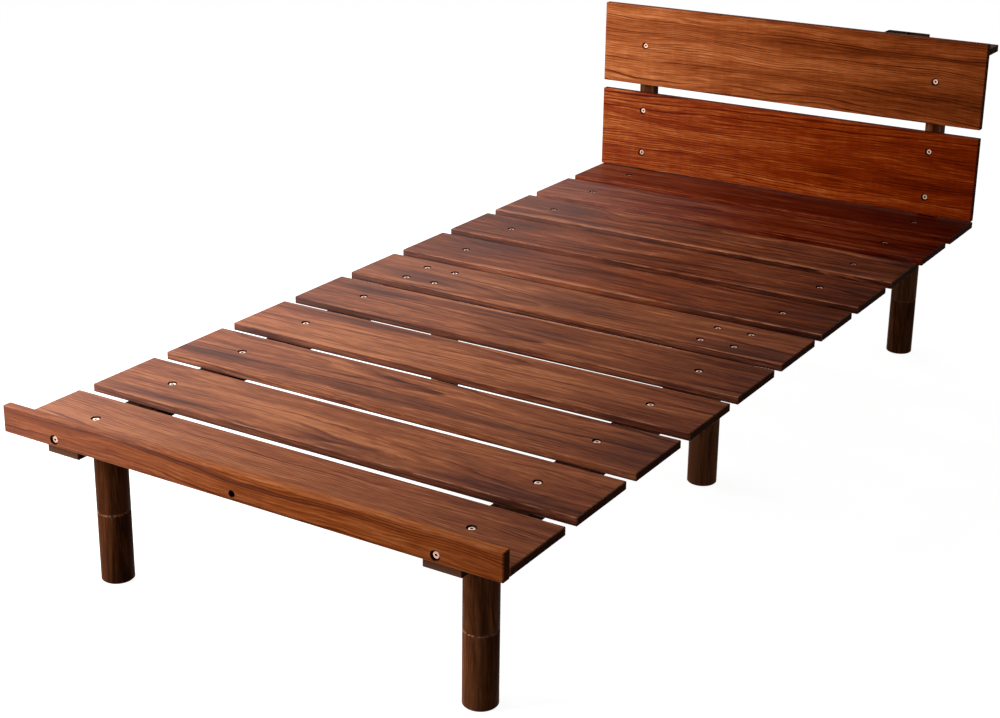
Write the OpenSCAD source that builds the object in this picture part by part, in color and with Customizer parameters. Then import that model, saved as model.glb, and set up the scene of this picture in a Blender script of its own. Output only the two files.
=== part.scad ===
// Floor bed frame: eleven slats on two beams, six screw-in legs in two sections each,
// a low foot rail and a two-plank headboard with a narrow shelf and an outlet behind it.
// Millimetres. X runs across the bed, Y from the foot to the head, Z up from the floor.

/* [Deck] */
// Length of each slat across the bed
slat_l = 980; // [800:10:1400]
// Width of each slat along the bed
slat_w = 158; // [130:1:165]
// Thickness of each slat
slat_t = 15; // [12:1:20]
// Clear gap between neighbouring slats
slat_gap = 33; // [25:1:60]
// Distance of the bolts of slat six from its middle, along the bed
splice_step = 39; // [30:1:50]
// Bevel on the long and short edges of every board
edge_b = 1.5; // [0.5:0.5:3]
// Bevel on the corners of every board
corner_b = 2; // [1:0.5:4]

/* [Beams] */
// Width of a beam
beam_w = 70; // [50:1:90]
// Thickness of a beam
beam_t = 25; // [24:1:40]
// Distance of the middle of a beam from the slat ends
beam_in = 115; // [90:1:150]

/* [Foot rail] */
// Thickness of the foot rail
rail_t = 18; // [15:1:25]
// Height of the foot rail
rail_h = 48; // [40:1:80]
// How far the foot rail hangs below the top of the deck
rail_drop = 17; // [15.5:0.5:20]
// Depth of the rail screws below the top of the deck
rail_screw_in = 5; // [4:0.5:7]
// Diameter of the open hole in the middle of the foot rail
rail_hole_d = 12; // [6:0.5:14]

/* [Legs] */
// Diameter of a leg
leg_d = 58; // [45:1:64]
// Height of the upper leg section
upper_leg_h = 140; // [110:1:200]
// Height of the lower leg section
lower_leg_h = 130; // [100:1:200]
// Distance of the foot legs from the foot end of the beams
foot_leg_in = 108; // [100:1:120]
// Distance of the head legs from the head end of the beams
head_leg_in = 106; // [98:1:120]
// Bevel on the ends of the leg sections
leg_bevel = 1.5; // [0.5:0.5:3]

/* [Headboard] */
// Thickness of a headboard plank
plank_t = 18; // [15:1:25]
// Height of a headboard plank
plank_h = 198; // [180:1:230]
// Gap between the deck and the lower plank
plank_lift = 3; // [1:1:20]
// Gap between the two planks
plank_gap = 21; // [10:1:40]
// Height of the lower bolts above the lower edge of the lower plank
plank_bolt_z = 43; // [25:1:50]
// Distance between the two bolts of a post in the lower plank
plank_bolt_step = 109; // [80:1:120]
// Width of a post
post_w = 40; // [36:1:60]
// Thickness of a post
post_t = 27; // [24:1:35]
// How far a post reaches below the beams
post_drop = 50; // [45:1:80]

/* [Rear shelf] */
// Depth of the rear shelf
shelf_d = 62; // [58:1:100]
// Thickness of the rear shelf
shelf_t = 16; // [12:1:20]
// How far the top of the shelf lies below the top of the headboard
shelf_drop = 12; // [5:1:30]
// Distance of the middle of the outlet from the right end of the shelf
outlet_in = 210; // [190:1:260]

/* [Outlet] */
// Length of the outlet
outlet_l = 100; // [96:1:110]
// Depth of the outlet
outlet_d = 46; // [44:1:50]
// Height of the outlet above the shelf
outlet_h = 8; // [7:0.5:10]

/* [Hardware] */
// Diameter of the deck and headboard bolts
bolt_d = 6; // [5:0.5:7]
// Diameter of their heads
bolt_head_d = 12; // [11:0.5:15]
// Thickness of their heads
bolt_head_h = 3; // [2:0.5:3.5]
// Diameter of the recesses for the heads
recess_d = 17; // [16:0.5:20]
// Diameter of the leg bolts and leg studs
leg_bolt_d = 8; // [7:0.5:9]
// Running clearance between a leg thread and its nut, on the radius
thread_play = 0.06; // [0.02:0.01:0.1]
// Gap that stays between pieces that turn or slide against each other
move_gap = 0.3; // [0.2:0.05:0.5]

/* [Hidden] */
$fn = 48;
slat_n = 11;
mid_slat = 6;
pitch = slat_w + slat_gap;
deck_l = slat_n * slat_w + (slat_n - 1) * slat_gap;
total_l = rail_t + deck_l + shelf_d;

y_foot = -total_l / 2;
y_deck = y_foot + rail_t;
y_head = y_deck + deck_l;
y_mid = y_deck + (mid_slat - 1) * pitch + slat_w / 2;

z_beam = lower_leg_h + upper_leg_h;
z_slat = z_beam + beam_t;
z_deck = z_slat + slat_t;
z_plank_low = z_deck + plank_lift;
z_plank_high = z_plank_low + plank_h + plank_gap;
z_top = z_plank_high + plank_h;
z_shelf = z_top - shelf_drop - shelf_t;

beam_x = slat_l / 2 - beam_in;
splice_x = beam_x - beam_w;
sides = [-1, 1];

// How far a cutting shape reaches past the face that it cuts
over = 1;
// Recess depths, hole sizes and thread lengths of the bolted joints
slat_recess = 5;
plank_recess = 6;
hole_play = 0.3;
bolt_hole_r = bolt_d / 2 + hole_play;
bolt_bite = 17;
bolt_head_b = 0.6;
shank_b = 0.8;
insert_wall = 2;
insert_play = 0.05;
insert_r = bolt_d / 2 + insert_wall;
insert_bore_r = bolt_d / 2 + insert_play;
insert_l = 13;
pilot_l = 20;
socket_w = 5;
socket_h = 2;
rail_screw_d = 5;
rail_screw_bite = 32;
rail_socket_w = 4;
z_rail_screw = z_deck - rail_screw_in;

leg_head_d = 20;
leg_head_h = 3;
leg_head_play = 0.2;
leg_bolt_bite = 30;
leg_nut_wall = 2.5;
leg_nut_r = leg_bolt_d / 2 + leg_nut_wall;
leg_nut_bore_r = leg_bolt_d / 2 + thread_play;
leg_nut_l = 25;
leg_pilot_l = 8;
leg_pilot_r = leg_bolt_d / 2 + 2 * hole_play;
stud_up = 22;
stud_down = 35;
section_l = upper_leg_h - 2 * move_gap;

wood_screw_d = 4;
wood_screw_head = 7.5;
wood_screw_cone = 2.4;
wood_screw_point = 3;
wood_screw_tip = 0.4;
cross_l = 4;
cross_w = 0.8;
cross_h = 1.2;
wood_screw_bite = 24;
shelf_screw_bite = shelf_t + wood_screw_bite;
bracket_t = 3;
bracket_w = 36;
bracket_l = 52;
bracket_h = 44;
bracket_row = 20;
bracket_end = 22;
post_row = 16;
post_end = 16;

// Outlet: body let into the shelf, socket face in its mouth, lid over half of its length
wall = 2;
flange_over = 7;
box_l = outlet_l - 2 * flange_over;
box_d = outlet_d - 2 * flange_over;
box_h = shelf_t + 11;
gland_r = 3;
gland_l = 4;
gland_wall = 1.4;
gland_z = wall + gland_r + 1 - box_h;
flange_b = 3;
flange_t = 2.4;
rail_in = 3.5;
lip_w = 2;
lip_h = 1;
face_t = 3;
port_step = 20;
slot_step = 12.7;
slot_l = 7;
slot_w = 1.8;
contact_h = 12;
outlet_x = slat_l / 2 - outlet_in;
outlet_y = y_head + shelf_d / 2;
outlet_z = z_shelf + shelf_t;
lid_bay = outlet_l - 2 * rail_in;
lid_l = lid_bay / 2 - 1;
lid_d = outlet_d - 2 * rail_in - 2 * move_gap;
lid_t = outlet_h - lip_h - flange_t - 2 * move_gap;
lid_x = outlet_x - lid_bay / 2 + move_gap;
ridge_w = 1.6;
ridge_l = 18;
ridge_h = 0.8;
ridge_step = 4;
port_x = lid_x + lid_l / 2;

// Where the slats are bolted down: one bolt on each beam, four a side on the middle slat
splice_points = [for (s = sides, x = [beam_x, splice_x], k = sides) [s * x, y_mid + k * splice_step]];
deck_points = concat(
    [for (n = [1:slat_n], s = sides) if (n != mid_slat) [s * beam_x, slat_mid(n)]],
    splice_points
);
// Heights of the bolts in the two headboard planks
plank_bolts = [
    z_plank_low + plank_bolt_z,
    z_plank_low + plank_bolt_z + plank_bolt_step,
    z_plank_high + plank_h / 2
];
// Middles of the six legs
leg_foot_y = y_deck + foot_leg_in;
leg_head_y = y_head - head_leg_in;
leg_row = [[beam_x, leg_foot_y], [splice_x, y_mid], [beam_x, leg_head_y]];
leg_points = [for (s = sides, p = leg_row) [s * p[0], p[1]]];

function slat_mid(n) = y_deck + (n - 1) * pitch + slat_w / 2;

// A board with bevelled edges, its low corner at the origin
module bevel_rect(a, b, c) {
    polygon([
        [c, 0], [a - c, 0], [a, c], [a, b - c],
        [a - c, b], [c, b], [0, b - c], [0, c]
    ]);
}

module board(a, b, h) {
    intersection() {
        linear_extrude(h) bevel_rect(a, b, corner_b);
        rotate([90, 0, 90]) linear_extrude(a) bevel_rect(b, h, edge_b);
        translate([0, b, 0]) rotate([90, 0, 0]) linear_extrude(b) bevel_rect(a, h, edge_b);
    }
}

// A hexagonal prism, for the sockets of the bolts
module hex_prism(across, h) {
    r = across / sqrt(3);
    linear_extrude(h) polygon([for (i = [0:5]) [r * cos(60 * i), r * sin(60 * i)]]);
}

// A round bar with bevelled ends, standing on the origin
module bevel_bar(d, h, b) {
    rotate_extrude() polygon([
        [0, 0], [d / 2 - b, 0], [d / 2, b], [d / 2, h - b], [d / 2 - b, h], [0, h]
    ]);
}

// Flat-headed bolt: head underside at the origin, shank downwards
module socket_bolt(head_d, head_h, d, bite, across) {
    difference() {
        union() {
            bevel_bar(head_d, head_h, bolt_head_b);
            translate([0, 0, -bite]) bevel_bar(d, bite + shank_b, shank_b);
        }
        translate([0, 0, head_h - socket_h]) hex_prism(across, socket_h + over);
    }
}

// Countersunk wood screw: head top at the origin, shank downwards
module wood_screw(bite) {
    difference() {
        rotate_extrude() polygon(concat([[0, 0]], wood_screw_side(bite)));
        for (a = [0, 90]) {
            rotate([0, 0, a]) translate([-cross_l / 2, -cross_w / 2, -cross_h])
                cube([cross_l, cross_w, cross_h + over]);
        }
    }
}

module wood_screw_hole(bite) {
    rotate_extrude() polygon(concat([[0, over], [wood_screw_head / 2, over]], wood_screw_side(bite)));
}

function wood_screw_side(bite) = [
    [wood_screw_head / 2, 0],
    [wood_screw_d / 2, -wood_screw_cone],
    [wood_screw_d / 2, wood_screw_point - bite],
    [wood_screw_tip, -bite],
    [0, -bite]
];

// A hole from the face at the origin down to the depth h
module down_hole(r, h) {
    translate([0, 0, -h]) cylinder(h = h + over, r = r);
}

module tube(outer_r, bore_r, l) {
    difference() {
        cylinder(h = l, r = outer_r);
        translate([0, 0, -over]) cylinder(h = l + 2 * over, r = bore_r);
    }
}

// Recess and hole for one bolt through a board: board face at the origin, going down
module bolt_cut(depth, t) {
    down_hole(recess_d / 2, depth);
    down_hole(bolt_hole_r, t + over);
}

// Bore for an insert nut and the pilot hole under it: board face at the origin, going down
module insert_cut() {
    down_hole(insert_r, insert_l);
    down_hole(bolt_hole_r, pilot_l);
}

// Turns a piece that points down so that it points towards the head of the bed
module to_head() {
    rotate([90, 0, 0]) children();
}

module slat(n) {
    points = [for (p = deck_points) if (abs(p[1] - slat_mid(n)) < pitch / 2) p];
    difference() {
        translate([-slat_l / 2, slat_mid(n) - slat_w / 2, z_slat]) board(slat_l, slat_w, slat_t);
        for (p = points) translate([p[0], p[1], z_deck]) bolt_cut(slat_recess, slat_t);
        if (n == 1) {
            for (s = sides) {
                translate([s * beam_x, y_deck, z_rail_screw])
                    to_head() down_hole(rail_screw_d / 2, rail_screw_bite + 2 * over);
            }
        }
    }
}

module slat_color() {
    color([0.45, 0.24, 0.16]) children();
}

module slat_01() { slat_color() slat(1); }
module slat_02() { slat_color() slat(2); }
module slat_03() { slat_color() slat(3); }
module slat_04() { slat_color() slat(4); }
module slat_05() { slat_color() slat(5); }
module slat_06() { slat_color() slat(6); }
module slat_07() { slat_color() slat(7); }
module slat_08() { slat_color() slat(8); }
module slat_09() { slat_color() slat(9); }
module slat_10() { slat_color() slat(10); }
module slat_11() { slat_color() slat(11); }

module foot_rail() {
    color([0.5, 0.27, 0.17]) difference() {
        translate([-slat_l / 2, y_foot, z_deck - rail_drop]) board(slat_l, rail_t, rail_h);
        for (s = sides) {
            translate([s * beam_x, y_foot, z_rail_screw]) to_head() {
                down_hole(recess_d / 2, plank_recess);
                down_hole(rail_screw_d / 2 + hole_play, rail_t + over);
            }
        }
        translate([0, y_foot, z_rail_screw]) to_head() down_hole(rail_hole_d / 2, rail_t + over);
    }
}

// Half of a beam, from y0 to y1, on the side s
module half_beam(s, y0, y1) {
    points = [for (p = deck_points) if (p[0] == s * beam_x && p[1] > y0 && p[1] < y1) p];
    leg_y = y0 < y_mid - 1 ? leg_foot_y : leg_head_y;
    color([0.3, 0.15, 0.1]) difference() {
        translate([s * beam_x - beam_w / 2, y0, z_beam]) board(beam_w, y1 - y0, beam_t);
        for (p = points) translate([p[0], p[1], z_slat]) insert_cut();
        translate([s * beam_x, leg_y, z_slat]) leg_bolt_cut();
        if (y1 > y_mid + 1) bracket_beam_screws(s) wood_screw_hole(wood_screw_bite);
    }
}

module leg_bolt_cut() {
    down_hole(leg_head_d / 2 + leg_head_play, leg_head_h);
    down_hole(leg_bolt_d / 2 + leg_head_play, beam_t + over);
}

module beam_left_foot() { half_beam(-1, y_deck, y_mid); }
module beam_left_head() { half_beam(-1, y_mid, y_head); }
module beam_right_foot() { half_beam(1, y_deck, y_mid); }
module beam_right_head() { half_beam(1, y_mid, y_head); }

module splice_block(s) {
    color([0.3, 0.15, 0.1]) difference() {
        translate([s * splice_x - beam_w / 2, y_mid - slat_w / 2, z_beam]) board(beam_w, slat_w, beam_t);
        for (k = sides) translate([s * splice_x, y_mid + k * splice_step, z_slat]) insert_cut();
        translate([s * splice_x, y_mid, z_slat]) leg_bolt_cut();
    }
}

module splice_block_left() { splice_block(-1); }
module splice_block_right() { splice_block(1); }

module plank(z0, bolts) {
    color([0.55, 0.27, 0.12]) difference() {
        translate([-slat_l / 2, y_head - plank_t, z0]) board(slat_l, plank_t, plank_h);
        for (s = sides, z = bolts) {
            translate([s * beam_x, y_head - plank_t, z]) to_head() bolt_cut(plank_recess, plank_t);
        }
    }
}

module headboard_plank_lower() { plank(z_plank_low, [plank_bolts[0], plank_bolts[1]]); }
module headboard_plank_upper() { plank(z_plank_high, [plank_bolts[2]]); }

module post(s) {
    z0 = z_beam - post_drop;
    color([0.25, 0.12, 0.08]) difference() {
        translate([s * beam_x - post_w / 2, y_head, z0]) board(post_w, post_t, z_shelf - z0);
        for (z = plank_bolts) translate([s * beam_x, y_head, z]) to_head() insert_cut();
        bracket_post_screws(s) wood_screw_hole(wood_screw_bite);
        shelf_screw_places(s) wood_screw_hole(shelf_screw_bite);
    }
}

module post_left() { post(-1); }
module post_right() { post(1); }

module rear_shelf() {
    color([0.25, 0.12, 0.08]) difference() {
        translate([-slat_l / 2, y_head, z_shelf]) board(slat_l, shelf_d, shelf_t);
        for (s = sides) shelf_screw_places(s) wood_screw_hole(shelf_screw_bite);
        translate([outlet_x - box_l / 2, outlet_y - box_d / 2, z_shelf - over])
            cube([box_l, box_d, shelf_t + 2 * over]);
    }
}

// Steel angle between the end of a beam and the post behind it
module bracket(s) {
    color([0.35, 0.34, 0.33]) difference() {
        translate([s * beam_x - bracket_w / 2, y_head, z_beam]) {
            translate([0, -bracket_l, -bracket_t]) cube([bracket_w, bracket_l, bracket_t]);
            translate([0, -bracket_t, -bracket_h]) cube([bracket_w, bracket_t, bracket_h]);
        }
        bracket_beam_screws(s) wood_screw_hole(wood_screw_bite);
        bracket_post_screws(s) wood_screw_hole(wood_screw_bite);
    }
}

module bracket_left() { bracket(-1); }
module bracket_right() { bracket(1); }

// The screws of the bracket, with their heads on its outer faces
module bracket_beam_screws(s) {
    y = y_head - bracket_l + bracket_end;
    for (k = sides) {
        translate([s * beam_x + k * bracket_w / 4, y + k * bracket_row / 2, z_beam - bracket_t])
            rotate([180, 0, 0]) children();
    }
}

module bracket_post_screws(s) {
    z = z_beam - bracket_h + post_end;
    for (k = sides) {
        translate([s * beam_x + k * bracket_w / 4, y_head - bracket_t, z + k * post_row / 2])
            to_head() children();
    }
}

module shelf_screw_places(s) {
    for (k = sides) {
        translate([s * beam_x + k * post_w / 4, y_head + post_t / 2, z_shelf + shelf_t]) children();
    }
}

module bracket_screws() {
    color([0.6, 0.6, 0.58]) for (s = sides) {
        bracket_beam_screws(s) wood_screw(wood_screw_bite);
        bracket_post_screws(s) wood_screw(wood_screw_bite);
    }
}

module shelf_screws() {
    color([0.6, 0.6, 0.58]) for (s = sides) shelf_screw_places(s) wood_screw(shelf_screw_bite);
}

module deck_bolts() {
    bite = slat_t - slat_recess + bolt_bite;
    color([0.72, 0.5, 0.42]) for (p = deck_points) {
        translate([p[0], p[1], z_deck - slat_recess])
            socket_bolt(bolt_head_d, bolt_head_h, bolt_d, bite, socket_w);
    }
}

module headboard_bolts() {
    bite = plank_t - plank_recess + bolt_bite;
    color([0.72, 0.5, 0.42]) for (s = sides, z = plank_bolts) {
        translate([s * beam_x, y_head - plank_t + plank_recess, z]) to_head()
            socket_bolt(bolt_head_d, bolt_head_h, bolt_d, bite, socket_w);
    }
}

module rail_screws() {
    bite = rail_t - plank_recess + rail_screw_bite;
    color([0.72, 0.5, 0.42]) for (s = sides) {
        translate([s * beam_x, y_foot + plank_recess, z_rail_screw]) to_head()
            socket_bolt(bolt_head_d, bolt_head_h, rail_screw_d, bite, rail_socket_w);
    }
}

// One insert nut: its open end at the origin, going down
module insert_nut() {
    translate([0, 0, -insert_l]) tube(insert_r, insert_bore_r, insert_l);
}

module insert_nuts() {
    color([0.75, 0.62, 0.3]) {
        for (p = deck_points) translate([p[0], p[1], z_slat]) insert_nut();
        for (s = sides, z = plank_bolts) translate([s * beam_x, y_head, z]) to_head() insert_nut();
    }
}

module leg_bolts() {
    bite = beam_t - leg_head_h + leg_bolt_bite;
    color([0.6, 0.6, 0.58]) for (p = leg_points) {
        translate([p[0], p[1], z_slat - leg_head_h])
            socket_bolt(leg_head_d, leg_head_h - leg_head_play, leg_bolt_d, bite, socket_w);
    }
}

// Puts a piece on leg i, from the height z
module at_leg(i, z) {
    translate([leg_points[i][0], leg_points[i][1], z]) children();
}

// Upper leg section: a nut let into each end
module upper_leg(i) {
    color([0.28, 0.14, 0.09]) at_leg(i, lower_leg_h + move_gap) difference() {
        bevel_bar(leg_d, section_l, leg_bevel);
        translate([0, 0, section_l]) leg_nut_cut();
        rotate([180, 0, 0]) leg_nut_cut();
    }
}

module leg_nut_cut() {
    down_hole(leg_nut_r, leg_nut_l);
    down_hole(leg_pilot_r, leg_nut_l + leg_pilot_l);
}

module leg_nuts(i) {
    color([0.75, 0.62, 0.3]) at_leg(i, lower_leg_h + move_gap) {
        tube(leg_nut_r, leg_nut_bore_r, leg_nut_l);
        translate([0, 0, section_l - leg_nut_l]) tube(leg_nut_r, leg_nut_bore_r, leg_nut_l);
    }
}

// Lower leg section: a stud stands up out of its top end
module lower_leg(i) {
    color([0.28, 0.14, 0.09]) at_leg(i, 0) difference() {
        bevel_bar(leg_d, lower_leg_h, leg_bevel);
        translate([0, 0, lower_leg_h]) down_hole(leg_bolt_d / 2, stud_down);
    }
}

module leg_stud(i) {
    color([0.6, 0.6, 0.58]) at_leg(i, lower_leg_h - stud_down)
        bevel_bar(leg_bolt_d, stud_down + stud_up, shank_b);
}

module upper_leg_foot_left() { upper_leg(0); }
module upper_leg_middle_left() { upper_leg(1); }
module upper_leg_head_left() { upper_leg(2); }
module upper_leg_foot_right() { upper_leg(3); }
module upper_leg_middle_right() { upper_leg(4); }
module upper_leg_head_right() { upper_leg(5); }

module leg_nuts_foot_left() { leg_nuts(0); }
module leg_nuts_middle_left() { leg_nuts(1); }
module leg_nuts_head_left() { leg_nuts(2); }
module leg_nuts_foot_right() { leg_nuts(3); }
module leg_nuts_middle_right() { leg_nuts(4); }
module leg_nuts_head_right() { leg_nuts(5); }

module lower_leg_foot_left() { lower_leg(0); }
module lower_leg_middle_left() { lower_leg(1); }
module lower_leg_head_left() { lower_leg(2); }
module lower_leg_foot_right() { lower_leg(3); }
module lower_leg_middle_right() { lower_leg(4); }
module lower_leg_head_right() { lower_leg(5); }

module leg_stud_foot_left() { leg_stud(0); }
module leg_stud_middle_left() { leg_stud(1); }
module leg_stud_head_left() { leg_stud(2); }
module leg_stud_foot_right() { leg_stud(3); }
module leg_stud_middle_right() { leg_stud(4); }
module leg_stud_head_right() { leg_stud(5); }

// Outlet body: a box under the shelf, a flange on top of it and two lips that hold the lid
module outlet_body() {
    color([0.06, 0.05, 0.05]) translate([outlet_x, outlet_y, outlet_z]) difference() {
        union() {
            translate([-outlet_l / 2, -outlet_d / 2, 0])
                linear_extrude(outlet_h) bevel_rect(outlet_l, outlet_d, flange_b);
            translate([-box_l / 2, -box_d / 2, -box_h]) cube([box_l, box_d, box_h + over]);
            translate([-box_l / 2 - gland_l, 0, gland_z]) rotate([0, 90, 0])
                cylinder(h = gland_l + over, r = gland_r + gland_wall);
        }
        translate([-lid_bay / 2, -outlet_d / 2 + rail_in, flange_t])
            cube([lid_bay, outlet_d - 2 * rail_in, outlet_h - lip_h - flange_t]);
        translate([-lid_bay / 2, -outlet_d / 2 + rail_in + lip_w, flange_t])
            cube([lid_bay, outlet_d - 2 * rail_in - 2 * lip_w, outlet_h]);
        translate([wall - box_l / 2, wall - box_d / 2, wall - box_h])
            cube([box_l - 2 * wall, box_d - 2 * wall, box_h + flange_t]);
        translate([-box_l / 2 - gland_l - over, 0, gland_z]) rotate([0, 90, 0])
            cylinder(h = gland_l + wall + 2 * over, r = gland_r);
    }
}

// Plate with two pairs of slots, in the mouth of the box
module outlet_socket_face() {
    color([0.12, 0.1, 0.1]) difference() {
        translate([outlet_x - box_l / 2 + wall, outlet_y - box_d / 2 + wall, outlet_z + flange_t - face_t])
            cube([box_l - 2 * wall, box_d - 2 * wall, face_t]);
        for (i = sides, k = sides) {
            translate([port_x + i * port_step / 2, outlet_y + k * slot_step / 2, outlet_z])
                translate([-slot_l / 2, -slot_w / 2, -face_t]) cube([slot_l, slot_w, 2 * face_t]);
        }
    }
}

// Two brass strips, each folded to a channel that grips the blades of both plugs
module outlet_contacts() {
    leaf = 0.6;
    l = port_step + slot_l + 3;
    color([0.8, 0.65, 0.3]) for (k = sides) {
        translate([port_x - l / 2, outlet_y + k * slot_step / 2, outlet_z + flange_t - face_t - contact_h])
            difference() {
                translate([0, -slot_w / 2 - leaf, 0]) cube([l, slot_w + 2 * leaf, contact_h]);
                translate([-1, -slot_w / 2, leaf]) cube([l + 2, slot_w, contact_h]);
            }
    }
}

// Lid that slides over the slots, with three finger ridges
module outlet_lid() {
    color([0.08, 0.07, 0.07]) translate([lid_x, outlet_y - lid_d / 2, outlet_z + flange_t + move_gap]) {
        cube([lid_l, lid_d, lid_t]);
        for (i = [-1:1]) {
            translate([(lid_l - ridge_w) / 2 + i * ridge_step, (lid_d - ridge_l) / 2, 0])
                cube([ridge_w, ridge_l, lid_t + ridge_h]);
        }
    }
}

slat_01();
slat_02();
slat_03();
slat_04();
slat_05();
slat_06();
slat_07();
slat_08();
slat_09();
slat_10();
slat_11();
foot_rail();
beam_left_foot();
beam_left_head();
beam_right_foot();
beam_right_head();
splice_block_left();
splice_block_right();
headboard_plank_lower();
headboard_plank_upper();
post_left();
post_right();
rear_shelf();
bracket_left();
bracket_right();
deck_bolts();
headboard_bolts();
insert_nuts();
rail_screws();
leg_bolts();
bracket_screws();
shelf_screws();
upper_leg_foot_left();
upper_leg_foot_right();
upper_leg_middle_left();
upper_leg_middle_right();
upper_leg_head_left();
upper_leg_head_right();
leg_nuts_foot_left();
leg_nuts_foot_right();
leg_nuts_middle_left();
leg_nuts_middle_right();
leg_nuts_head_left();
leg_nuts_head_right();
lower_leg_foot_left();
lower_leg_foot_right();
lower_leg_middle_left();
lower_leg_middle_right();
lower_leg_head_left();
lower_leg_head_right();
leg_stud_foot_left();
leg_stud_foot_right();
leg_stud_middle_left();
leg_stud_middle_right();
leg_stud_head_left();
leg_stud_head_right();
outlet_body();
outlet_socket_face();
outlet_contacts();
outlet_lid();
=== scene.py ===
import math

import bpy
from mathutils import Matrix, Vector


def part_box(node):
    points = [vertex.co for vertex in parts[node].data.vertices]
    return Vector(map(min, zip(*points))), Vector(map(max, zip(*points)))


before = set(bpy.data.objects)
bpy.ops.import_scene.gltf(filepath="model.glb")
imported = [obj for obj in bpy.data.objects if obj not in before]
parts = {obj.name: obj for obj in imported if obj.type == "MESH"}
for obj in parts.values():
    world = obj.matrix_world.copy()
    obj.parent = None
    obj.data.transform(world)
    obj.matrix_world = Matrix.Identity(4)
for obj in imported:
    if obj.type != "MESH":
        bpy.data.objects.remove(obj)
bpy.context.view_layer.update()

print("bed loaded:", len(parts), "nodes")

# Camera, above and to the right of the foot end. Angles in degrees, distances in metres.
view = {
    "place": (1.649, -2.9766, 1.4798),
    "turn": 31.60,      # to the left of straight along the bed
    "tilt": -18.985,
    "roll": 0.739,
    "lens": 64.18,
    "sensor": 36.0,
    "shiftY": -0.059,
    "near": 0.1,
    "far": 100.0,
}


def placeCamera():
    turn, tilt, roll = (math.radians(view[k]) for k in ("turn", "tilt", "roll"))
    ahead = Vector((-math.sin(turn) * math.cos(tilt), math.cos(turn) * math.cos(tilt), math.sin(tilt)))
    right = Vector((math.cos(turn), math.sin(turn), 0))
    up = right.cross(ahead)
    axes = Matrix((
        right * math.cos(roll) + up * math.sin(roll),
        up * math.cos(roll) - right * math.sin(roll),
        -ahead,
    )).transposed()
    data = bpy.data.cameras.new("camera")
    data.lens, data.sensor_width = view["lens"], view["sensor"]
    data.shift_y = view["shiftY"]
    data.clip_start, data.clip_end = view["near"], view["far"]
    camera = bpy.data.objects.new("camera", data)
    camera.matrix_world = Matrix.Translation(view["place"]) @ axes.to_4x4()
    bpy.context.scene.collection.objects.link(camera)
    bpy.context.scene.camera = camera


placeCamera()
print("camera placed")


class Wire:  # one socket of a shader, so that maths on it is plain Python
    def __init__(self, tree, socket=None):
        self.tree, self.socket = tree, socket

    def node(self, kind, settings=None, sockets=None, out=0):
        made = self.tree.nodes.new("ShaderNode" + kind)
        for name, value in (settings or {}).items():
            if name == "stops":
                ramp = made.color_ramp.elements
                while len(ramp) < len(value):
                    ramp.new(1.0)
                for stop, (place, colour) in zip(ramp, value):
                    stop.position, stop.color = place, (*colour, 1)
            else:
                setattr(made, name, value)
        for key, value in (sockets or {}).items():
            if isinstance(value, Wire):
                self.tree.links.new(value.socket, made.inputs[key])
            else:
                made.inputs[key].default_value = value
        return Wire(self.tree, made.outputs[out] if made.outputs else None)

    def other(self, out):  # another output of the same node
        return Wire(self.tree, self.socket.node.outputs[out])

    def calc(self, operation, *values):
        return self.node("Math", {"operation": operation}, dict(enumerate(values)))

    def __add__(self, other):
        return self.calc("ADD", self, other)

    def __sub__(self, other):
        return self.calc("SUBTRACT", self, other)

    def __rsub__(self, other):
        return self.calc("SUBTRACT", other, self)

    def __mul__(self, other):
        return self.calc("MULTIPLY", self, other)

    def __truediv__(self, other):
        return self.calc("DIVIDE", self, other)

    def __rtruediv__(self, other):
        return self.calc("DIVIDE", other, self)

    __radd__, __rmul__ = __add__, __mul__

    def least(self, other):
        return self.calc("MINIMUM", self, other)

    def most(self, other):
        return self.calc("MAXIMUM", self, other)

    def size(self):
        return self.calc("ABSOLUTE", self)

    def rise(self, low, high):  # 0 below low, 1 above high, soft between
        limits = {"Value": self, "From Min": low, "From Max": high}
        return self.node("MapRange", {"interpolation_type": "SMOOTHSTEP"}, limits)

    def vector(self, operation, other):
        return self.node("VectorMath", {"operation": operation}, {0: self, 1: other})

    def tint(self, first, second):  # this wire is the share of the second colour
        first, second = ((*c, 1) if isinstance(c, tuple) else c for c in (first, second))
        return self.node("Mix", {"data_type": "RGBA"}, {0: self, 6: first, 7: second}, 2)

    def noise(self, spot, detail=2.0, roughness=0.5, distortion=0.0):  # spot: its length on each axis
        values = {"Scale": 1.0, "Detail": detail, "Roughness": roughness, "Distortion": distortion}
        return self.node("TexNoise", None, {"Vector": self.vector("DIVIDE", spot), **values})


def newFinish(name):
    finish = bpy.data.materials.new(name)
    finish.use_nodes = True
    finish.node_tree.nodes.clear()
    return finish, Wire(finish.node_tree)


def closeFinish(start, colour, roughness, gloss, height, depth, metallic=0.0):
    normal = start.node("Bump", None, {"Strength": 1.0, "Distance": depth, "Height": height})
    sockets = {"Base Color": colour, "Roughness": roughness, "Metallic": metallic,
               "Specular IOR Level": gloss, "Normal": normal}
    shader = start.node("BsdfPrincipled", None, sockets)
    start.node("OutputMaterial", None, {"Surface": shader})


def shade(start, distance, samples):  # 1 in the open, less down in a hole of the same piece; the finishes use it to paint shade into holes and sockets
    settings = {"only_local": True, "samples": samples}
    return start.node("AmbientOcclusion", settings, {"Distance": distance}, "AO")


def paint(node, finish):
    for slot in parts[node].material_slots:
        slot.material = finish


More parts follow.
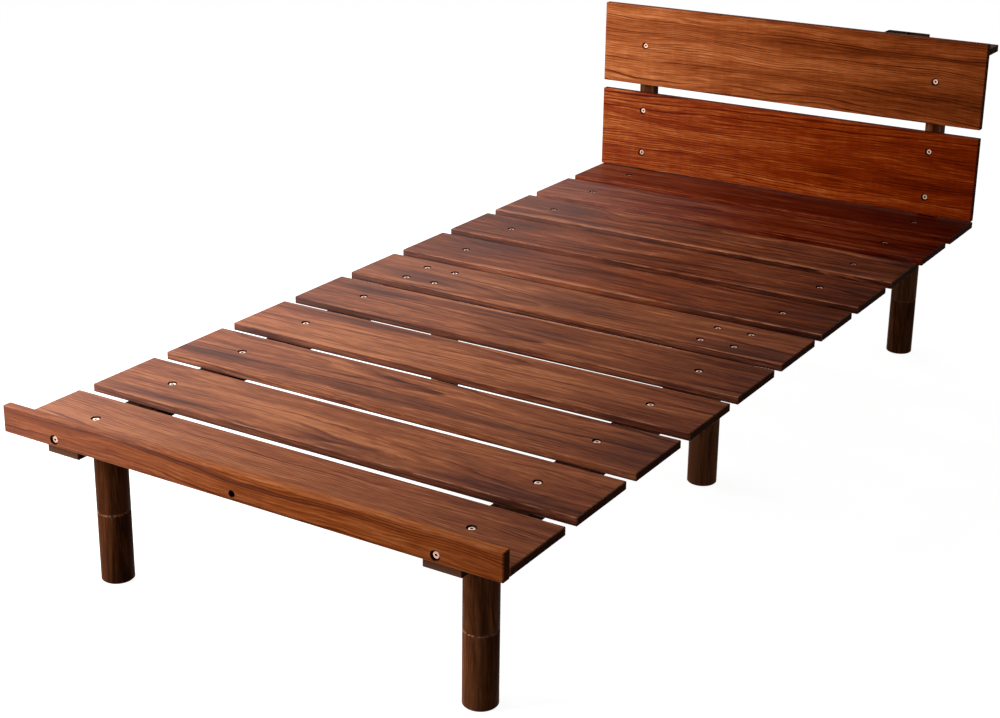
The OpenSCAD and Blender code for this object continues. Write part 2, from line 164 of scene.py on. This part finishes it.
# Stained pine. Lengths in metres, colours linear. A list of colours runs from the darkest level of the
# grain to the lightest. A pair of numbers is where a soft step starts and ends.
wood = {
    "ring": 0.0052,                # width of a growth ring
    "late": (0.40, 0.93),          # its dark part
    "ringDepth": (0.7, 0.1),       # how dark it gets: what differs from ring to ring, and the least
    "breaks": (0.30, 0.66),        # where the rings are faint
    "leastRing": 0.3,              # and what is left of them there
    "heart": 0.085,                # how far the heart of the log lies below the face
    "aside": (12.9, 0.7),          # how a seed moves it sideways: turn, and share of the half width
    "drift": 0.016,                # how far the rings wander
    "bend": 0.048,                 # how far all of the grain wanders sideways
    "taper": 0.016,                # how fast the rings close up along the board
    "seedSteps": (7.3, 3.1, 1.7),  # what one seed moves the grain along, across and into the board
    "markWander": (0.05, 0.010),   # how far a mark follows the wander and the ripple
    "markStep": (0.1, 1.0),
    "level": 0.57,                 # of the grain before anything varies it
    "flank": (0.6, 0.95),          # how squarely a long side face has to look sideways
    "paintedSoleShadow": (0.001, 0.005),        # painted shadow: the dark line along its bottom
    "duskFrom": 0.35,              # share of the half length, where the painted shade at the ends starts
    "paleFrom": -0.3,
    "clouds": (0.49, 0.66),
    "markCloud": 0.35,
    "edge": (0.0006, 0.0024),      # width of the light edges: wear, and a painted highlight
    "scuffs": (0.35, 0.65),
    "hole": 0.016,                 # how far the painted shade in a hole reaches
    "holeStep": (0.55, 0.95),
    "holeSamples": 4,
    "endStep": (0.75, 0.95),
    "endShare": 0.85,              # of the end colour on end grain
    "deckColours": [(0.08, (0.029, 0.0078, 0.0050)), (0.34, (0.088, 0.0240, 0.0125)),
                    (0.54, (0.168, 0.0480, 0.0225)), (0.72, (0.270, 0.0835, 0.0350)),
                    (0.92, (0.440, 0.1600, 0.0680))],
    "brownColours": [(0.08, (0.028, 0.0062, 0.0036)), (0.34, (0.086, 0.0200, 0.0088)),
                     (0.54, (0.164, 0.0395, 0.0155)), (0.72, (0.258, 0.0710, 0.0285)),
                     (0.92, (0.400, 0.1400, 0.0640))],
    "redColours": [(0.08, (0.028, 0.0020, 0.0005)), (0.34, (0.070, 0.0060, 0.0010)),
                   (0.54, (0.122, 0.0128, 0.0022)), (0.72, (0.190, 0.0315, 0.0078)),
                   (0.92, (0.290, 0.0800, 0.0320))],
    "upperColours": [(0.08, (0.055, 0.0082, 0.0014)), (0.34, (0.132, 0.0235, 0.0040)),
                     (0.54, (0.222, 0.0475, 0.0095)), (0.72, (0.345, 0.0930, 0.0240)),
                     (0.92, (0.520, 0.1820, 0.0640))],
    "lowerColours": [(0.08, (0.045, 0.0031, 0.0002)), (0.34, (0.106, 0.0088, 0.0004)),
                     (0.54, (0.176, 0.0185, 0.0010)), (0.72, (0.292, 0.0560, 0.0080)),
                     (0.92, (0.470, 0.1600, 0.0420))],
    # A darker copy of the stain, for the beams and splice blocks below the deck: painted shade
    "paintedShadeColours": [(0.08, (0.006, 0.0022, 0.0012)), (0.34, (0.016, 0.0052, 0.0026)),
                    (0.54, (0.030, 0.0095, 0.0044)), (0.72, (0.054, 0.0170, 0.0078)),
                    (0.92, (0.095, 0.0320, 0.0150))],
    "legColours": [(0.08, (0.010, 0.0030, 0.0010)), (0.34, (0.034, 0.0095, 0.0030)),
                   (0.54, (0.076, 0.0225, 0.0072)), (0.72, (0.145, 0.0470, 0.0165)),
                   (0.92, (0.250, 0.0950, 0.0400))],
    "wornAndHighlight": (0.42, 0.200, 0.120),      # along the sharp edges: wear, and a painted highlight
    "cloud": (0.042, 0.022, 0.021),    # the cool dark patches
    "pale": (0.30, 0.20, 0.185),       # painted sheen towards the left ends
    "paintedHoleShade": (0.024, 0.0084, 0.0050),   # painted shade down in the holes
    "end": (0.016, 0.0055, 0.0028),    # stained end grain
    "beamEnd": (0.150, 0.062, 0.036),
}
# The noises of the grain: spot size along, across and into the board, detail, roughness, distortion
noises = {
    "wander": ((0.50, 0.10, 0.10), 2.0),
    "ripple": ((0.085, 0.014, 0.014), 2.0),
    "breaks": ((0.24, 0.018, 0.018), 2.0),
    "band": ((0.90, 0.030, 0.030), 3.0, 0.55, 0.2),
    "flame": ((0.13, 0.010, 0.010), 4.0, 0.62, 0.6),
    "fibre": ((0.11, 0.0032, 0.0032), 3.0, 0.70),
    "hair": ((0.030, 0.0013, 0.0013), 2.0, 0.6),
    "glow": ((0.012, 0.09, 0.09), 2.0),
    "cloud": ((0.17, 0.026, 0.026), 4.0, 0.6, 0.5),
    "scuff": ((0.05, 0.004, 0.004), 2.0),
}
weights = {"band": 0.70, "flame": 0.72, "fibre": 0.68, "hair": 0.45}
varnish = {
    "gloss": 0.004,
    "rough": 0.40,
    "roughFibre": 0.16,
    "roughRing": 0.05,
    "roughEnd": 0.25,
    "height": (0.6, 0.3, 0.4),     # of fibres and hairs, and depth of the rings
    "depth": 0.00012,
}


def boardAxes(node, grain):
    # Its middle, its axes along the grain, across it and into the board, and half its size on each
    low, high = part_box(node)
    half = (high - low) / 2
    order = {"x": (0, 1, 2), "y": (1, 0, 2), "z": (2, 0, 1)}[grain]
    if grain == "x" and half[1] < half[2]:
        order = (0, 2, 1)        # a board on edge: its face runs up
    return tuple((low + high) / 2), order, [half[i] for i in order]


def markSpots(marks, along, across, wander, ripple):  # each patch or knot as 1 at its middle and 0 outside
    slow, quick = wood["markWander"]
    spots = []
    for place, off, length, width, depth, warp in marks:
        far = (along - place) / length
        near = (across - off + wander * slow + ripple * quick) / width
        spot = 1 - far.calc("SQRT", far * far + near * near).rise(*wood["markStep"])
        spots.append((spot, depth, warp))
    return spots


def growthRings(radius, along, point):  # 1 in the late part of the darkest rings, 0 between the rings
    turns = (radius + along * wood["taper"]) / wood["ring"]
    whole = turns.calc("FLOOR", turns)
    part = turns - whole
    first, last = wood["late"]
    late = part.rise(first, last) * (1 - part.rise(last, 1.0))
    strong = whole.node("TexWhiteNoise", {"noise_dimensions": "1D"}, {"W": whole})
    differs, least = wood["ringDepth"]
    left = wood["leastRing"]
    broken = point.noise(*noises["breaks"]).rise(*wood["breaks"]) * (1 - left) + left
    return late * (strong * strong * differs + least) * broken


# marks: place along and across, length, width, how dark, and how far the rings bend round it
# fine, contrast: share of the fine and of the broad grain. lines: depth of the rings. wavy: their waves.
# front, left, dusk: painted shade, darker to the back (on a round piece to the right), to the right, to both
# ends. rim, sole: painted light and shade on the long side faces, and a painted shadow along their bottom.
# tone: how light. cloud, shimmer, wear, pale: how strong the cool patches, the glow, the light edges (partly
# wear, partly painted highlight) and the painted sheen towards the left are. heart, aside: where the heart of
# the log
# lies. turned: a round piece.
def woodFinish(node, colours="deckColours", grain="x", seed=0.0, tone=0.0, paintedShadeAcross=0.0, left=0.0, cloud=0.35,
               shimmer=0.05, contrast=1.0, wearAndHighlight=0.45, heart=None, aside=None, lines=0.50, endColour="end",
               wavy=0.008, paintedSideShading=-0.42, paintedSoleShadow=0.0, pale=0.0, paintedEndShade=0.0, fine=1.0, turned=False, marks=()):
    middle, order, reach = boardAxes(node, grain)
    finish, start = newFinish(node)
    here = start.node("TexCoord", None, None, "Object").vector("SUBTRACT", middle)
    split = here.node("SeparateXYZ", None, {0: here})
    axes = [split.other(i) for i in order]
    along, across, deep = axes

    moved = {i: axis + step * seed for i, (axis, step) in enumerate(zip(axes, wood["seedSteps"]))}
    still = here.node("CombineXYZ", None, moved)
    wander, ripple = (still.noise(*noises[name]) - 0.5 for name in ("wander", "ripple"))
    bend = wander * wood["bend"] + ripple * wavy
    point = here.node("CombineXYZ", None, {**moved, 1: moved[1] + bend})
    if aside is None:
        turn, share = wood["aside"]
        aside = math.sin(seed * turn) * reach[1] * share
    side = across + aside + bend
    down = deep + (heart or wood["heart"]) + wander * wood["drift"]
    radius = here.calc("SQRT", side * side + down * down)
    spots = markSpots(marks, along, across, wander, ripple)
    for spot, depth, warp in spots:
        radius = radius + spot * warp
    rings = growthRings(radius, along, point)

    grains = {name: point.noise(*noises[name]) for name in weights}
    shares = {"band": contrast, "flame": contrast, "fibre": fine, "hair": fine}
    level = wood["level"] + tone - rings * lines
    for name, weight in weights.items():
        level = level + (grains[name] - 0.5) * (weight * shares[name])
    normal = start.node("SeparateXYZ", None, {0: start.node("TexCoord", None, None, "Normal")})
    # Painted light and shade on the long side faces, and a painted shadow along their bottoms
    if not turned:
        flank = normal.other(order[1]).size().rise(*wood["flank"])
        level = level + flank * paintedSideShading
        level = level - flank * (1 - (deep + reach[2]).rise(*wood["paintedSoleShadow"])) * paintedSoleShadow
    # Painted shade: darker across the board, towards the right and towards both ends
    if paintedShadeAcross:
        level = level - across * (paintedShadeAcross / reach[1])
    if left:
        level = level - along * (left / reach[0])
    if paintedEndShade:
        level = level - along.size().rise(wood["duskFrom"] * reach[0], reach[0]) * paintedEndShade
    level = level + (point.noise(*noises["glow"]) - 0.5) * shimmer
    for spot, depth, warp in spots:
        level = level - spot * depth
    colour = level.node("ValToRGB", {"stops": wood[colours]}, {0: level})
    if cloud:
        cool = point.noise(*noises["cloud"]).rise(*wood["clouds"]) * cloud
        for spot, depth, warp in spots:
            if depth > 0:
                cool = cool.most(spot * wood["markCloud"])
        colour = cool.tint(colour, wood["cloud"])
    # Painted sheen towards the left end
    if pale:
        faded = (0 - along).rise(wood["paleFrom"] * reach[0], reach[0]) * pale
        colour = faded.tint(colour, wood["pale"])

    # how far the nearest sharp edge is: the middle one of the three ways out
    gaps = [r - a.size() for a, r in zip(axes, reach)]
    edge = gaps[0] if turned else gaps[0].least(gaps[1]).most(gaps[0].most(gaps[1]).least(gaps[2]))
    # Light sharp edges: wear, and a painted highlight
    scuffs = point.noise(*noises["scuff"]).rise(*wood["scuffs"])
    wornAndHighlight = (1 - edge.rise(*wood["edge"])) * scuffs * wearAndHighlight
    colour = wornAndHighlight.tint(colour, wood["wornAndHighlight"])
    # Painted shade down in the holes of the piece
    inOpen = shade(start, wood["hole"], wood["holeSamples"]).rise(*wood["holeStep"])
    colour = inOpen.tint(wood["paintedHoleShade"], colour)
    endGrain = normal.other(order[0]).size().rise(*wood["endStep"]) * wood["endShare"]
    colour = endGrain.tint(colour, wood[endColour])

    fibre, hair = grains["fibre"], grains["hair"]
    roughness = (varnish["rough"] + (fibre - 0.5) * varnish["roughFibre"] - rings * varnish["roughRing"]
                 + endGrain * varnish["roughEnd"])
    fibreHeight, hairHeight, ringDepth = varnish["height"]
    height = fibre * fibreHeight + hair * hairHeight - rings * ringDepth
    closeFinish(start, colour, roughness, varnish["gloss"], height, varnish["depth"])
    paint(node, finish)


# How each slat of the deck differs, counted from the foot
slats = {
    1: {"seed": 1.3, "tone": 0.20, "paintedShadeAcross": 0.07, "left": 0.11, "cloud": 0.08, "lines": 0.80, "contrast": 0.6,
        "aside": 0.13},
    2: {"seed": 2.1, "tone": 0.14, "left": 0.10, "paintedSideShading": -0.20, "cloud": 0.30, "wavy": 0.012, "wearAndHighlight": 0.9,
        "marks": [(-0.05, -0.020, 0.45, 0.034, -0.20, 0.0), (-0.34, -0.062, 0.24, 0.022, 0.20, 0.0),
                  (0.34, -0.050, 0.20, 0.034, 0.18, 0.0)]},
    3: {"seed": 3.7, "tone": 0.15, "left": 0.02, "paintedEndShade": 0.09, "cloud": 0.12, "lines": 0.75, "wavy": 0.012,
        "paintedSideShading": 0.0,
        "marks": [(0.05, -0.036, 0.60, 0.026, 0.13, 0.0), (-0.42, -0.030, 0.16, 0.040, 0.16, 0.0),
                  (0.46, 0.0, 0.14, 0.14, 0.08, 0.0)]},
    4: {"seed": 4.2, "tone": 0.22, "left": 0.06, "cloud": 0.15, "lines": 0.60, "paintedEndShade": 0.17,
        "marks": [(-0.25, 0.064, 0.26, 0.030, 0.24, 0.0), (-0.30, -0.072, 0.42, 0.014, -0.30, 0.0)]},
    5: {"seed": 5.9, "tone": 0.07, "left": 0.06, "cloud": 0.30, "lines": 0.60, "paintedEndShade": 0.15, "paintedSideShading": -0.19,
        "marks": [(-0.05, 0.074, 0.62, 0.012, -0.34, 0.0), (-0.36, 0.040, 0.13, 0.034, 0.20, 0.0),
                  (0.04, 0.010, 0.20, 0.030, 0.16, 0.003)]},
    6: {"seed": 6.4, "tone": 0.11, "left": 0.02, "cloud": 0.14, "lines": 0.70, "paintedEndShade": 0.07, "paintedSideShading": -0.15,
        "marks": [(-0.34, -0.030, 0.22, 0.034, 0.14, 0.0), (0.42, -0.050, 0.18, 0.044, 0.12, 0.0),
                  (0.02, 0.0, 0.24, 0.070, 0.06, 0.0)]},
    7: {"seed": 7.6, "tone": 0.02, "left": 0.06, "cloud": 0.35, "paintedSideShading": -0.18, "wearAndHighlight": 0.9, "paintedEndShade": 0.19,
        "colours": "brownColours",
        "marks": [(-0.30, 0.055, 0.18, 0.036, 0.24, 0.004), (-0.10, -0.074, 0.50, 0.012, -0.26, 0.0)]},
    8: {"seed": 8.8, "tone": 0.04, "left": 0.08, "cloud": 0.35, "lines": 0.65, "wavy": 0.012, "paintedEndShade": 0.22,
        "contrast": 1.3, "colours": "brownColours", "marks": [(-0.36, 0.030, 0.085, 0.050, 0.12, 0.022)]},
    9: {"seed": 9.1, "tone": 0.01, "left": 0.08, "cloud": 0.30, "lines": 0.65, "contrast": 1.6, "wavy": 0.012,
        "colours": "brownColours", "pale": 0.22, "paintedSideShading": -0.42,
        # Slat 9's light line along its front edge is a painted highlight
        "marks": [(-0.34, 0.020, 0.15, 0.060, 0.24, 0.026), (-0.10, -0.071, 0.80, 0.006, -0.70, 0.0)]},
    10: {"seed": 10.5, "tone": 0.06, "left": 0.19, "cloud": 0.20, "wavy": 0.012, "colours": "redColours",
         "contrast": 1.7, "lines": 0.80, "pale": 0.27, "paintedSideShading": -0.02, "wearAndHighlight": 0.15},
    11: {"seed": 11.2, "tone": -0.01, "left": 0.24, "cloud": 0.12, "lines": 0.60, "colours": "redColours",
         "aside": 0.11, "pale": 0.04, "paintedSideShading": -0.04, "wearAndHighlight": 0.15},
}
usual = {"pale": 0.16, "paintedEndShade": 0.05, "wearAndHighlight": 0.45, "paintedSideShading": -0.24, "paintedSoleShadow": 0.35}   # unless a slat says more
for number, look in slats.items():
    woodFinish(f"slat_{number:02d}", **{**usual, **look})

# Foot rail, headboard and shelf
planks = {"left": 0.13, "cloud": 0.0, "contrast": 0.7, "shimmer": 0.10, "wearAndHighlight": 0.1, "lines": 1.0,
          "paintedSideShading": -0.2, "wavy": 0.004}
boards = {
    "foot_rail": {
        "colours": "upperColours", "seed": 12.6, "tone": 0.08, "paintedShadeAcross": 0.02, "left": -0.04, "cloud": 0.05,
        "contrast": 0.5, "lines": 0.75, "aside": 0.13, "paintedSideShading": 0.12, "pale": 0.16, "paintedEndShade": 0.06,
        "marks": [(-0.05, 0.012, 0.60, 0.008, 0.12, 0.0)]},
    "headboard_plank_lower": {
        **planks, "colours": "lowerColours", "seed": 14.2, "tone": 0.02, "aside": -0.14, "pale": 0.03,
        "marks": [(-0.05, 0.020, 0.50, 0.030, -0.10, 0.0), (-0.30, 0.034, 0.25, 0.016, 0.16, 0.0),
                  (0.10, -0.075, 0.50, 0.022, -0.14, 0.0), (0.30, -0.034, 0.32, 0.020, 0.20, 0.0)]},
    "headboard_plank_upper": {
        **planks, "colours": "upperColours", "seed": 15.8, "tone": 0.03, "aside": 0.15, "pale": 0.02,
        "marks": [(0.14, 0.052, 0.46, 0.018, 0.20, 0.0), (-0.10, 0.005, 0.60, 0.030, -0.10, 0.0),
                  (0.36, -0.060, 0.30, 0.030, 0.12, 0.0)]},
    "rear_shelf": {"colours": "legColours", "seed": 16.1, "tone": -0.04, "paintedSideShading": -0.1},
}
for name, look in boards.items():
    woodFinish(name, **look)

# Behind and below the deck, where {} is the side. The seed is the left one's, and the right one has 1 more.
supports = {
    "post_{}": {"colours": "legColours", "grain": "z", "seed": 17.3, "tone": -0.02, "paintedSideShading": -0.1},
    # The splice blocks and beams take the darker copy of the stain: painted shade below the deck
    "splice_block_{}": {"colours": "paintedShadeColours", "grain": "y", "seed": 19.6},
    "beam_{}_foot": {"colours": "paintedShadeColours", "grain": "y", "seed": 21.4, "tone": 0.08,
                     "endColour": "beamEnd"},
    "beam_{}_head": {"colours": "paintedShadeColours", "grain": "y", "seed": 23.9},
}
# The supports' light edges: wear, and a painted highlight
supportWearAndHighlight = 0.15
legs = {
    "paintedLightTones": {"foot": (-0.05, 0.11), "middle": (-0.02, 0.43), "head": (-0.02, 0.20)},   # left and right: painted light and shade, set per leg
    # The upper sections are painted lighter: painted light
    "upperPaintedLight": 0.07,
    "seeds": (30, 7.7, 2.3),   # the first one, and the steps from side to side and from row to row
    # On the legs, front darkens the right side of each leg: painted shade
    "grain": {"cloud": 0.1, "heart": 0.004, "paintedShadeAcross": 0.09, "wearAndHighlight": 0.9, "lines": 0.25, "fine": 0.6,
              "turned": True},
}


def legFinish(row, place, number, side):
    first, sideStep, rowStep = legs["seeds"]
    tone = legs["paintedLightTones"][place][number]
    for low, section in enumerate(("upper", "lower")):
        woodFinish(f"{section}_leg_{place}_{side}", "legColours", "z",
                   seed=first + sideStep * number + rowStep * row + low,
                   tone=tone + legs["upperPaintedLight"] * (1 - low), **legs["grain"])


for number, side in enumerate(("left", "right")):
    for name, look in supports.items():
        woodFinish(name.format(side), wearAndHighlight=supportWearAndHighlight, **{**look, "seed": look["seed"] + number})
    for row, place in enumerate(legs["paintedLightTones"]):
        legFinish(row, place, number, side)
print("wood finished")

# Metal and plastic: the nodes, or how their names start, colour, how rough, how metallic, gloss, size of the
# spots that vary it, and how far the painted shade in a socket reaches
metals = {
    "copper": {"on": ("headboard_bolts", "rail_screws"), "colour": (0.90, 0.55, 0.41), "rough": 0.40,
               "metallic": 0.6, "gloss": 0.1, "spot": 0.004, "paintedHoleShade": 0.006},
    # The deck bolts take a lighter copy of the copper: painted light for the highlights on their heads
    "copperWithPaintedLight": {"on": ("deck_bolts",), "colour": (1.0, 0.70, 0.56), "rough": 0.36,
                   "metallic": 0.7, "gloss": 0.1, "spot": 0.004, "paintedHoleShade": 0.004},
    "zinc": {"on": ("leg_bolts", "leg_stud", "bracket_screws", "shelf_screws"), "colour": (0.60, 0.60, 0.57),
             "rough": 0.38, "metallic": 1.0, "gloss": 0.5, "spot": 0.006},
    "brass": {"on": ("insert_nuts", "leg_nuts", "outlet_contacts"), "colour": (0.74, 0.56, 0.26),
              "rough": 0.34, "metallic": 1.0, "gloss": 0.5, "spot": 0.005},
    "blackSteel": {"on": ("bracket_left", "bracket_right"), "colour": (0.035, 0.033, 0.030),
                   "rough": 0.52, "metallic": 0.0, "gloss": 0.2, "spot": 0.01},
    "blackPlastic": {"on": ("outlet_body", "outlet_socket_face", "outlet_lid"),
                     "colour": (0.044, 0.022, 0.013), "rough": 0.60, "metallic": 0.0, "gloss": 0.001,
                     "spot": 0.001},
}
# Tarnish in small spots, and painted shade down in the sockets
tarnishAndSocketShade = {
    "speck": (3.0, 0.6),                # detail and roughness of the small spots
    "patch": 0.03,                      # size of the larger ones
    "mix": 0.5,                         # share of each
    "dark": 0.62,                       # share of the colour that they leave
    "step": (0.38, 0.66),
    "rough": 0.20,                      # what the spots change the roughness by
    "depth": 0.00005,
    "socket": (0.012, 0.006, 0.005),    # colour of the painted shade down in a socket
    "socketStep": (0.60, 0.95),
    "socketSamples": 8,
}


def plainFinish(name, look):
    finish, start = newFinish(name)
    here = start.node("TexCoord", None, None, "Object")
    speck = here.noise((look["spot"],) * 3, *tarnishAndSocketShade["speck"])
    patch = here.noise((tarnishAndSocketShade["patch"],) * 3)
    spots = (speck * tarnishAndSocketShade["mix"] + patch * tarnishAndSocketShade["mix"]).rise(*tarnishAndSocketShade["step"])
    dark = tuple(tarnishAndSocketShade["dark"] * c for c in look["colour"])
    colour = spots.tint(dark, look["colour"])
    # Painted shade down in a socket
    if "paintedHoleShade" in look:
        paintedHoleShade = shade(start, look["paintedHoleShade"], tarnishAndSocketShade["socketSamples"]).rise(*tarnishAndSocketShade["socketStep"])
        colour = paintedHoleShade.tint(tarnishAndSocketShade["socket"], colour)
    roughness = look["rough"] + (speck - 0.5) * tarnishAndSocketShade["rough"]
    closeFinish(start, colour, roughness, look["gloss"], speck, tarnishAndSocketShade["depth"], look["metallic"])
    return finish


for name, look in metals.items():
    finish = plainFinish(name, look)
    for node in parts:
        if node.startswith(look["on"]):
            paint(node, finish)
print("metal and plastic finished")

# Soft edges on the wooden parts, whose finishes have their names. Metres and degrees.
softEdge = {"merge": 0.00001, "width": 0.0005, "segments": 2, "sharper": 30}
for node, piece in parts.items():
    if piece.material_slots[0].material.name == node:
        weld = piece.modifiers.new("weld", "WELD")
        weld.merge_threshold = softEdge["merge"]
        bevel = piece.modifiers.new("soft edges", "BEVEL")
        bevel.width, bevel.segments = softEdge["width"], softEdge["segments"]
        bevel.limit_method, bevel.angle_limit = "ANGLE", math.radians(softEdge["sharper"])
        bevel.harden_normals = True
print("edges softened")

# Studio: pale floor, three large soft lamps along the left side and an even room
studio = {
    "room": 0.14,
    "floorSize": 60.0,
    "floorDrop": 0.0003,   # below the feet, so that the two don't flicker
    "floorColour": 0.42,
    "floorGlow": 0.93,
    "aim": (0, 0, 0.3),
    "lamps": {
        "key": {"place": (-1.7, -2.3, 1.3), "size": 1.4, "power": 78.0},
        "side": {"place": (-1.75, -0.2, 1.25), "size": 1.4, "power": 46.0},
        "card": {"place": (-2.9, 2.7, 1.6), "size": 2.4, "power": 22.0},
    },
}


def addLamp(name, place, size, power):
    data = bpy.data.lights.new(name, "AREA")
    data.shape, data.size, data.energy = "DISK", size, power
    lamp = bpy.data.objects.new(name, data)
    lamp.location = place
    lamp.rotation_euler = (Vector(studio["aim"]) - Vector(place)).to_track_quat("-Z", "Y").to_euler()
    lamp.visible_camera = False
    bpy.context.scene.collection.objects.link(lamp)


def seenShare(start):  # 1 for what the camera sees, also in gloss and through glass
    path = start.node("LightPath")
    names = ("Is Camera Ray", "Is Glossy Ray", "Is Transmission Ray")
    seen, gloss, through = (path.other(n) for n in names)
    return seen.most(gloss).most(through)


def buildStudio():
    mesh = bpy.data.meshes.new("floor")
    s = studio["floorSize"] / 2
    mesh.from_pydata([(-s, -s, 0), (s, -s, 0), (s, s, 0), (-s, s, 0)], [], [(0, 1, 2, 3)])
    floor = bpy.data.objects.new("floor", mesh)
    floor.location.z = -studio["floorDrop"]
    bpy.context.scene.collection.objects.link(floor)
    finish, start = newFinish("floor")
    matt = start.node("BsdfDiffuse", None, {"Color": (*(studio["floorColour"],) * 3, 1)})
    glow = start.node("Emission", None, {"Strength": seenShare(start) * studio["floorGlow"]})
    start.node("OutputMaterial", None, {"Surface": start.node("AddShader", None, {0: matt, 1: glow})})
    mesh.materials.append(finish)

    world = bpy.data.worlds.new("room")
    bpy.context.scene.world = world
    world.use_nodes = True
    world.node_tree.nodes.clear()
    start = Wire(world.node_tree)
    strength = seenShare(start) * (1 - studio["room"]) + studio["room"]
    back = start.node("Background", None, {"Color": (1, 1, 1, 1), "Strength": strength})
    start.node("OutputWorld", None, {"Surface": back})
    for name, lamp in studio["lamps"].items():
        addLamp(name, **lamp)
    bpy.context.scene.view_settings.view_transform = "Standard"


buildStudio()
print("studio built")
